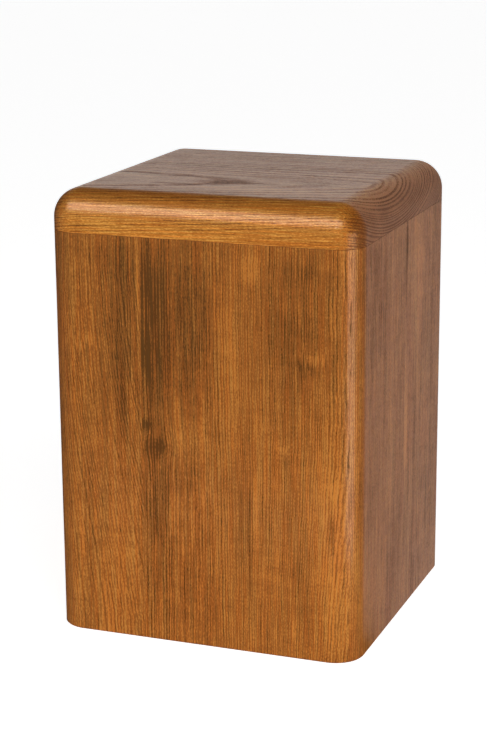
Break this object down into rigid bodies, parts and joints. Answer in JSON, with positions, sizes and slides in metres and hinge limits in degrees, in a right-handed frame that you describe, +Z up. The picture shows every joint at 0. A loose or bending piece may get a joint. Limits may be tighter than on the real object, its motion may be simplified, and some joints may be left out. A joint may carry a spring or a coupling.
{
  "type": "cremation urn box",
  "caption": "Solid wood box urn with a rounded top board, walls of glued upright staves and a screwed bottom panel round a hollow chamber.",
  "frame": {"origin": "centre of the underside, on the surface that the box stands on", "axes": "+Z up, -Y towards the front, +X to the right as seen from the front"},
  "size_m": [0.17, 0.17, 0.24],
  "materials": {
    "top_wood": "satin lacquer over open-pored hardwood, grain from side to side",
    "wall_wood": "satin lacquer over open-pored hardwood, upright grain",
    "bottom_wood": "bare sanded wood with a thin seal coat",
    "screw_brass": "turned brass, lightly dulled"
  },
  "bodies": {
    "root": {"top_board": "top_wood", "front_stave_1": "wall_wood", "front_stave_2": "wall_wood", "front_stave_3": "wall_wood", "right_stave_1": "wall_wood", "right_stave_2": "wall_wood", "back_stave_1": "wall_wood", "back_stave_2": "wall_wood", "back_stave_3": "wall_wood", "left_stave_1": "wall_wood", "left_stave_2": "wall_wood", "bottom_panel": "bottom_wood", "panel_screw_1": "screw_brass", "panel_screw_2": "screw_brass", "panel_screw_3": "screw_brass", "panel_screw_4": "screw_brass"}
  },
  "joints": []
}
